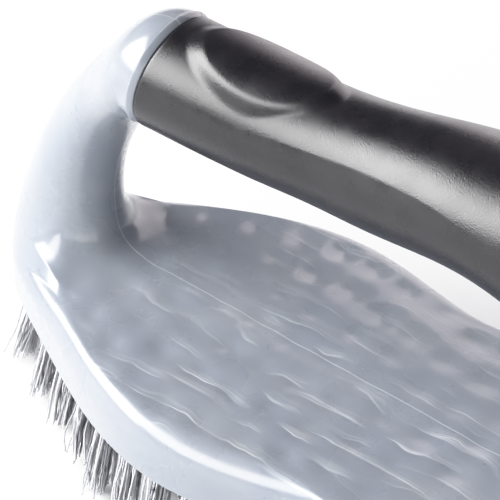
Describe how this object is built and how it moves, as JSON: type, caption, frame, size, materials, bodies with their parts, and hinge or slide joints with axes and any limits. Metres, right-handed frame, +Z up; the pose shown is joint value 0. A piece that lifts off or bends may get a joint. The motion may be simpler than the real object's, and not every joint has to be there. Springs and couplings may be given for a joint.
{
  "type": "scrub brush",
  "caption": "Scrub brush with a waisted block, a swept neck that rises from the nose to a rear-facing handle, a soft black grip with a thumb pad, and tufts under the block.",
  "frame": {"origin": "centre of the footprint, on the plane of the bristle tips", "axes": "+X from the nose to the handle's free end, +Z up, XZ is the plane of symmetry"},
  "size_m": [0.163, 0.0777, 0.1152],
  "materials": {
    "pearl_plastic": "pearl-grey translucent plastic, glossy",
    "soft_grip": "black soft-touch elastomer, satin with a fine grain",
    "filament": "crimped light grey synthetic filament"
  },
  "bodies": {
    "root": {"brush_body": "pearl_plastic", "grip_sleeve": "soft_grip", "bristle_row_01": "filament", "bristle_row_02": "filament", "bristle_row_03": "filament", "bristle_row_04": "filament", "bristle_row_05": "filament", "bristle_row_06": "filament", "bristle_row_07": "filament", "bristle_row_08": "filament", "bristle_row_09": "filament", "bristle_row_10": "filament", "bristle_row_11": "filament", "bristle_row_12": "filament", "bristle_row_13": "filament", "bristle_row_14": "filament", "bristle_row_15": "filament", "bristle_row_16": "filament"}
  },
  "joints": []
}
